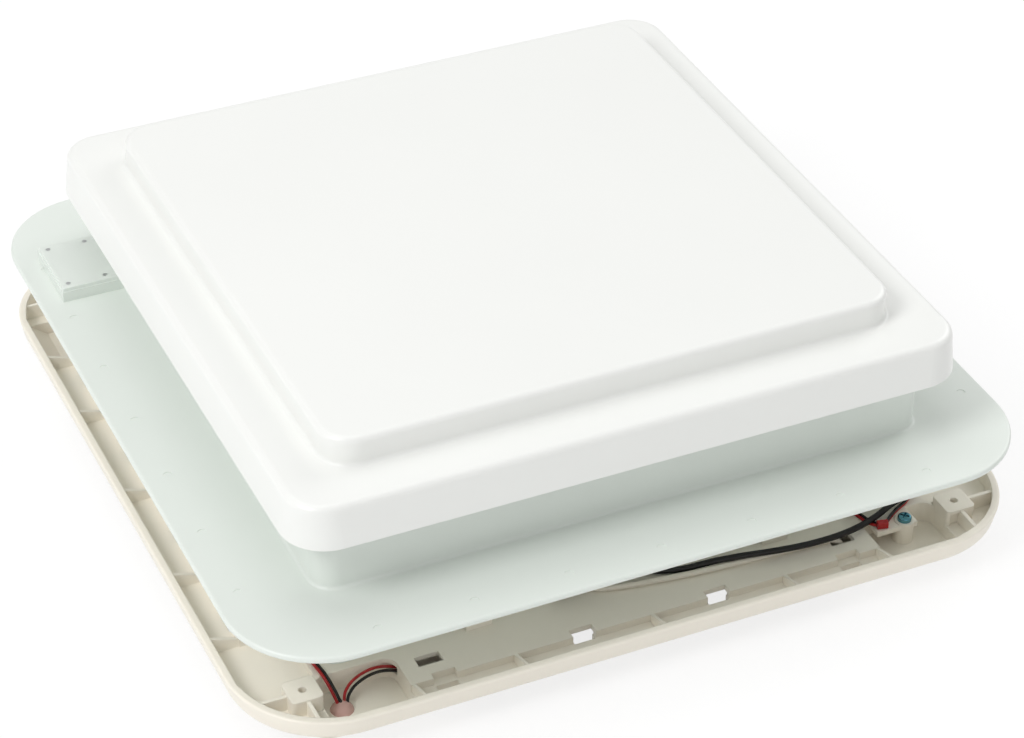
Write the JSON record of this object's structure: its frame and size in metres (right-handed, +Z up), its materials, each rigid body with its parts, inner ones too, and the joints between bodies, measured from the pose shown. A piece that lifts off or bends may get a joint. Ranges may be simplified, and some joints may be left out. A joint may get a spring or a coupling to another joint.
{
  "type": "caravan roof vent",
  "caption": "Square white caravan roof vent with a raised stepped lid, roof flange with neck, cream cabin trim with wiring, fan and flyscreen inside.",
  "frame": {"origin": "on the floor under the middle of the vent, which stands on the lamp pods of its cabin trim", "axes": "+X to the right along the front side, +Y from the front to the back, +Z up, from the cabin to the sky"},
  "size_m": [0.36, 0.36, 0.121],
  "materials": {
    "white_shell": "satin",
    "white_lid": "satin",
    "cream_trim": "satin",
    "seal_rubber": "matt",
    "zinc_steel": "zinc plated",
    "blue_zinc": "blue zinc plated",
    "bar_steel": "white painted",
    "dark_plastic": "fine grain",
    "fan_plastic": "satin",
    "motor_steel": "black painted",
    "guard_wire": "white coated",
    "board_green": "white solder mask",
    "clear_lens": "frosted clear plastic",
    "chip_white": "yellow phosphor",
    "screen_frame": "satin",
    "screen_mesh": "woven insect mesh",
    "brass_screw": "plain",
    "clear_glue": "hot glue",
    "black_lead": "satin PVC",
    "red_lead": "satin PVC",
    "cream_lead": "satin PVC"
  },
  "bodies": {
    "vent_base": {"back_left_lamp_board": "board_green", "back_left_lamp_lens": "clear_lens", "back_right_lamp_board": "board_green", "back_right_lamp_lens": "clear_lens", "cable_box_cover": "white_shell", "cable_box_screws": "zinc_steel", "clamp_nuts": "zinc_steel", "fan_lead": "black_lead", "fan_motor": "motor_steel", "fan_shroud": "fan_plastic", "fan_switch_body": "dark_plastic", "feed_lead": "cream_lead", "finger_guard": "guard_wire", "front_left_lamp_board": "board_green", "front_left_lamp_lens": "clear_lens", "front_left_tail_black_lead": "black_lead", "front_left_tail_red_lead": "red_lead", "front_right_lamp_board": "board_green", "front_right_lamp_lens": "clear_lens", "front_right_tail_black_lead": "black_lead", "front_right_tail_red_lead": "red_lead", "glue_dabs": "clear_glue", "guard_screws": "zinc_steel", "lamp_chips": "chip_white", "lead_splice": "red_lead", "left_chain_black_lead": "black_lead", "left_chain_red_lead": "red_lead", "left_guide_bracket": "fan_plastic", "left_guide_screws": "zinc_steel", "light_switch_body": "dark_plastic", "pocket_screw": "blue_zinc", "right_chain_black_lead": "black_lead", "right_chain_red_lead": "red_lead", "right_guide_bracket": "fan_plastic", "right_guide_screws": "zinc_steel", "roof_flange": "white_shell", "shroud_screws": "zinc_steel", "terminal_block": "fan_plastic", "terminal_screws": "brass_screw", "trim_frame": "cream_trim", "trim_screws": "zinc_steel"},
    "lid": {"lid_dome": "white_lid", "lid_seal": "seal_rubber", "left_lift_bar": "bar_steel", "right_lift_bar": "bar_steel", "lift_bar_screws": "zinc_steel"},
    "fan_rotor": {"fan_shaft": "zinc_steel", "fan_impeller": "fan_plastic", "spinner_nut": "dark_plastic"},
    "left_knob": {"left_clamp_knob": "dark_plastic", "left_clamp_stud": "zinc_steel"},
    "right_knob": {"right_clamp_knob": "dark_plastic", "right_clamp_stud": "zinc_steel"},
    "fan_rocker": {"fan_switch_rocker": "dark_plastic"},
    "light_rocker": {"light_switch_rocker": "dark_plastic"},
    "flyscreen": {"flyscreen_frame": "screen_frame", "flyscreen_mesh": "screen_mesh", "flyscreen_pins": "zinc_steel"}
  },
  "joints": [
    {"name": "lid_lift", "type": "slide", "parent": "vent_base", "child": "lid", "axis": [0, 0, 1], "range_m": [0, 0.045]},
    {"name": "fan_spin", "type": "hinge", "parent": "vent_base", "child": "fan_rotor", "pos_m": [0, 0, 0.0495], "axis": [0, 0, 1], "continuous": true},
    {"name": "left_knob_turn", "type": "hinge", "parent": "vent_base", "child": "left_knob", "pos_m": [-0.119, 0, 0.07], "axis": [-1, 0, 0], "range_deg": [0, 180]},
    {"name": "right_knob_turn", "type": "hinge", "parent": "vent_base", "child": "right_knob", "pos_m": [0.119, 0, 0.07], "axis": [1, 0, 0], "range_deg": [0, 180]},
    {"name": "fan_rocker_tip", "type": "hinge", "parent": "vent_base", "child": "fan_rocker", "pos_m": [0.15, -0.054, 0.00725], "axis": [-1, 0, 0], "range_deg": [0, 14]},
    {"name": "light_rocker_tip", "type": "hinge", "parent": "vent_base", "child": "light_rocker", "pos_m": [0.15, -0.026, 0.00725], "axis": [-1, 0, 0], "range_deg": [0, 14]},
    {"name": "flyscreen_drop", "type": "hinge", "parent": "vent_base", "child": "flyscreen", "pos_m": [0, 0.1315, 0.0127], "axis": [1, 0, 0], "range_deg": [0, 85]}
  ]
}
